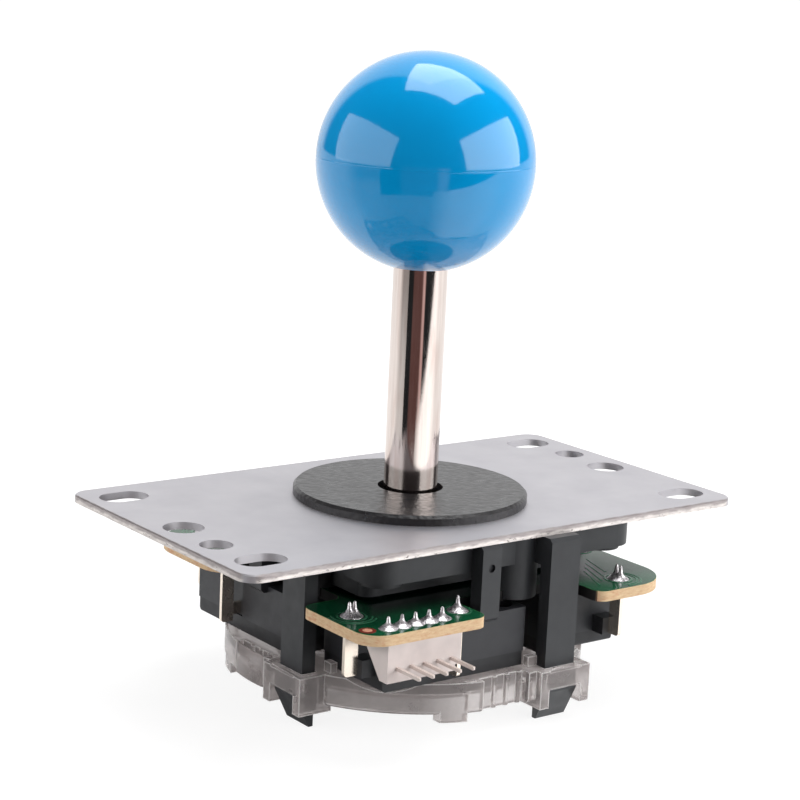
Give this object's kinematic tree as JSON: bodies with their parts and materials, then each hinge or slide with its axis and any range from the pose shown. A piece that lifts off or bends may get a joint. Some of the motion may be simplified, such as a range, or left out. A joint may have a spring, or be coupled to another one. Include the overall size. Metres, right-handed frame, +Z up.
{
  "type": "arcade joystick lever",
  "caption": "Ball-top arcade joystick lever on a flat mounting plate, with microswitches on a circuit board and a clear square gate under it.",
  "frame": {"origin": "centre of the mounting plate's top face, which is the centre of its slot pattern", "axes": "+X along the plate's long side, -Y to the side with the connector, +Z up along the shaft"},
  "size_m": [0.097, 0.0694, 0.103],
  "materials": {
    "blue_ball": "polished",
    "brass": "machined",
    "nickel": "bright nickel plate",
    "black_washer": "fine grain",
    "zinc_steel": "satin zinc plate",
    "black_plastic": "moulded",
    "screw_steel": "zinc plate",
    "pivot_plastic": "moulded",
    "spring_steel": "drawn wire",
    "board_green": "solder mask",
    "white_plastic": "moulded",
    "tinned": "tin plate",
    "solder": "bright solder",
    "clear_plastic": "clear",
    "plunger_red": "moulded"
  },
  "bodies": {
    "base": {"dust_washer": "black_washer", "mounting_plate": "zinc_steel", "housing": "black_plastic", "plate_screws": "screw_steel", "spring_retainer": "black_plastic", "circuit_board": "board_green", "connector_header": "white_plastic", "header_pins": "tinned", "solder_joints": "solder", "gate_housing": "clear_plastic", "gate_plate": "clear_plastic", "switch_case_front": "black_plastic", "switch_cover_front": "black_plastic", "common_terminal_front": "tinned", "contact_terminal_front": "tinned", "switch_case_left": "black_plastic", "switch_cover_left": "black_plastic", "common_terminal_left": "tinned", "contact_terminal_left": "tinned", "switch_case_back": "black_plastic", "switch_cover_back": "black_plastic", "common_terminal_back": "tinned", "contact_terminal_back": "tinned", "switch_case_right": "black_plastic", "switch_cover_right": "black_plastic", "common_terminal_right": "tinned", "contact_terminal_right": "tinned"},
    "spring": {"centering_spring": "spring_steel"},
    "pivot": {"pivot": "pivot_plastic"},
    "lever": {"shaft": "nickel", "ball_top": "blue_ball", "ball_insert": "brass", "actuator": "pivot_plastic", "shaft_washer": "screw_steel", "e_clip": "spring_steel"},
    "plunger_front": {"switch_plunger_front": "plunger_red"},
    "plunger_left": {"switch_plunger_left": "plunger_red"},
    "plunger_back": {"switch_plunger_back": "plunger_red"},
    "plunger_right": {"switch_plunger_right": "plunger_red"}
  },
  "joints": [
    {"name": "tilt_x", "type": "hinge", "parent": "base", "child": "spring", "pos_m": [0, 0, -0.004], "axis": [1, 0, 0], "range_deg": [-6, 6], "stiffness_Nm_per_rad": 1, "deforming": ["centering_spring"]},
    {"name": "tilt_y", "type": "hinge", "parent": "spring", "child": "pivot", "pos_m": [0, 0, -0.004], "axis": [0, 1, 0], "range_deg": [-6, 6], "stiffness_Nm_per_rad": 1, "deforming": ["centering_spring"]},
    {"name": "spin", "type": "hinge", "parent": "pivot", "child": "lever", "pos_m": [0, 0, -0.004], "axis": [0, 0, 1], "continuous": true},
    {"name": "plunger_front_slide", "type": "slide", "parent": "base", "child": "plunger_front", "axis": [0, 1, 0], "range_m": [-0.0006, 0.0006]},
    {"name": "plunger_left_slide", "type": "slide", "parent": "base", "child": "plunger_left", "axis": [1, 0, 0], "range_m": [-0.0006, 0.0006]},
    {"name": "plunger_back_slide", "type": "slide", "parent": "base", "child": "plunger_back", "axis": [0, 1, 0], "range_m": [-0.0006, 0.0006]},
    {"name": "plunger_right_slide", "type": "slide", "parent": "base", "child": "plunger_right", "axis": [1, 0, 0], "range_m": [-0.0006, 0.0006]}
  ],
  "couplings": [
    {"joint": "plunger_front_slide", "follows": "tilt_x", "m_per_rad": 0.0057296},
    {"joint": "plunger_left_slide", "follows": "tilt_y", "m_per_rad": -0.0057296},
    {"joint": "plunger_back_slide", "follows": "tilt_x", "m_per_rad": 0.0057296},
    {"joint": "plunger_right_slide", "follows": "tilt_y", "m_per_rad": -0.0057296}
  ]
}
